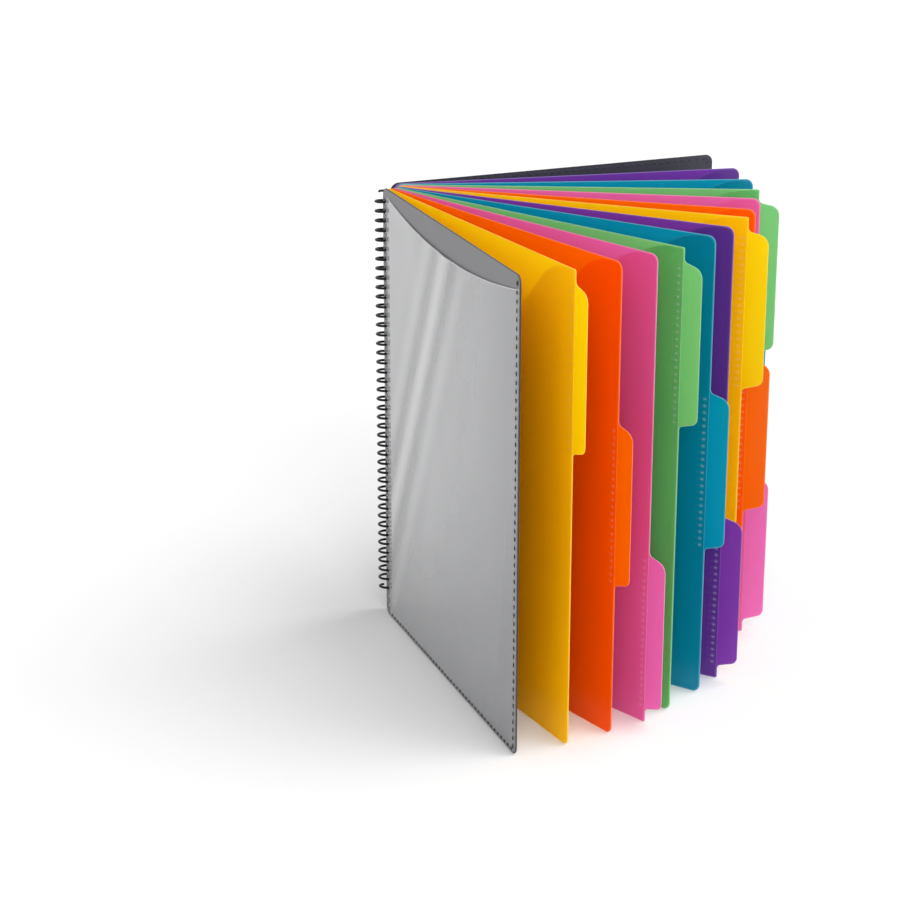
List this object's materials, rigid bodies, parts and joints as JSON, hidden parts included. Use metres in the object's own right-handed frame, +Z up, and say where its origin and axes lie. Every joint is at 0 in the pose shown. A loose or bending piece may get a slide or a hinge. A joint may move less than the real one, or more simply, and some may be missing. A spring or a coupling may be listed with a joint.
{
  "type": "letter organizer folder",
  "caption": "Spiral-bound organizer standing fanned open: stiff covers and tabbed, pocketed poly dividers that swing round an upright coil.",
  "frame": {"origin": "bottom centre of the standing, fanned-open book, on the surface that it stands on", "axes": "+Z up along the coil; +X from the coil along the closed book, towards the tabs; +Y from the front cover to the back cover"},
  "size_m": [0.2568, 0.3414, 0.292],
  "materials": {
    "coil_plastic": "satin black plastic wire",
    "grey_cover": "fine grained grey poly",
    "clear_vinyl": "frosted clear vinyl",
    "black_cover": "charcoal black poly",
    "yellow_poly": "translucent yellow poly",
    "orange_poly": "translucent orange poly",
    "pink_poly": "translucent pink poly",
    "green_poly": "translucent green poly",
    "teal_poly": "translucent teal poly",
    "purple_poly": "translucent purple poly"
  },
  "bodies": {
    "spine": {"spiral_coil": "coil_plastic"},
    "front_leaf": {"front_cover": "grey_cover", "front_cover_pocket": "clear_vinyl"},
    "leaf_01": {"divider_01_yellow": "yellow_poly", "pocket_01_yellow": "yellow_poly"},
    "leaf_02": {"divider_02_orange": "orange_poly", "pocket_02_orange": "orange_poly"},
    "leaf_03": {"divider_03_pink": "pink_poly", "pocket_03_pink": "pink_poly"},
    "leaf_04": {"divider_04_green": "green_poly", "pocket_04_green": "green_poly"},
    "leaf_05": {"divider_05_teal": "teal_poly", "pocket_05_teal": "teal_poly"},
    "leaf_06": {"divider_06_purple": "purple_poly", "pocket_06_purple": "purple_poly"},
    "leaf_07": {"divider_07_yellow": "yellow_poly", "pocket_07_yellow": "yellow_poly"},
    "leaf_08": {"divider_08_orange": "orange_poly", "pocket_08_orange": "orange_poly"},
    "leaf_09": {"divider_09_pink": "pink_poly", "pocket_09_pink": "pink_poly"},
    "leaf_10": {"divider_10_green": "green_poly", "pocket_10_green": "green_poly"},
    "leaf_11": {"divider_11_teal": "teal_poly", "pocket_11_teal": "teal_poly"},
    "leaf_12": {"divider_12_purple": "purple_poly", "pocket_12_purple": "purple_poly"},
    "back_leaf": {"back_cover": "black_cover"}
  },
  "joints": [
    {"name": "leaf_06_swing", "type": "hinge", "parent": "spine", "child": "leaf_06", "pos_m": [-0.11938, -0.00209, 0], "axis": [0, 0, -1], "range_deg": [-3.5, 5]},
    {"name": "leaf_05_swing", "type": "hinge", "parent": "leaf_06", "child": "leaf_05", "pos_m": [-0.11938, -0.00209, 0], "axis": [0, 0, -1], "range_deg": [-6, 5]},
    {"name": "leaf_04_swing", "type": "hinge", "parent": "leaf_05", "child": "leaf_04", "pos_m": [-0.11938, -0.00209, 0], "axis": [0, 0, -1], "range_deg": [-8, 5]},
    {"name": "leaf_03_swing", "type": "hinge", "parent": "leaf_04", "child": "leaf_03", "pos_m": [-0.11938, -0.00209, 0], "axis": [0, 0, -1], "range_deg": [-5.5, 5]},
    {"name": "leaf_02_swing", "type": "hinge", "parent": "leaf_03", "child": "leaf_02", "pos_m": [-0.11938, -0.00209, 0], "axis": [0, 0, -1], "range_deg": [-6.5, 5]},
    {"name": "leaf_01_swing", "type": "hinge", "parent": "leaf_02", "child": "leaf_01", "pos_m": [-0.11938, -0.00209, 0], "axis": [0, 0, -1], "range_deg": [-7.5, 5]},
    {"name": "front_cover_swing", "type": "hinge", "parent": "leaf_01", "child": "front_leaf", "pos_m": [-0.11938, -0.00209, 0], "axis": [0, 0, -1], "range_deg": [-8, 24]},
    {"name": "leaf_07_swing", "type": "hinge", "parent": "spine", "child": "leaf_07", "pos_m": [-0.11938, -0.00209, 0], "axis": [0, 0, 1], "range_deg": [-3, 5]},
    {"name": "leaf_08_swing", "type": "hinge", "parent": "leaf_07", "child": "leaf_08", "pos_m": [-0.11938, -0.00209, 0], "axis": [0, 0, 1], "range_deg": [-5, 5]},
    {"name": "leaf_09_swing", "type": "hinge", "parent": "leaf_08", "child": "leaf_09", "pos_m": [-0.11938, -0.00209, 0], "axis": [0, 0, 1], "range_deg": [-7, 5]},
    {"name": "leaf_10_swing", "type": "hinge", "parent": "leaf_09", "child": "leaf_10", "pos_m": [-0.11938, -0.00209, 0], "axis": [0, 0, 1], "range_deg": [-6, 5]},
    {"name": "leaf_11_swing", "type": "hinge", "parent": "leaf_10", "child": "leaf_11", "pos_m": [-0.11938, -0.00209, 0], "axis": [0, 0, 1], "range_deg": [-7, 5]},
    {"name": "leaf_12_swing", "type": "hinge", "parent": "leaf_11", "child": "leaf_12", "pos_m": [-0.11938, -0.00209, 0], "axis": [0, 0, 1], "range_deg": [-8, 5]},
    {"name": "back_cover_swing", "type": "hinge", "parent": "leaf_12", "child": "back_leaf", "pos_m": [-0.11938, -0.00209, 0], "axis": [0, 0, 1], "range_deg": [-10.5, 24]}
  ]
}
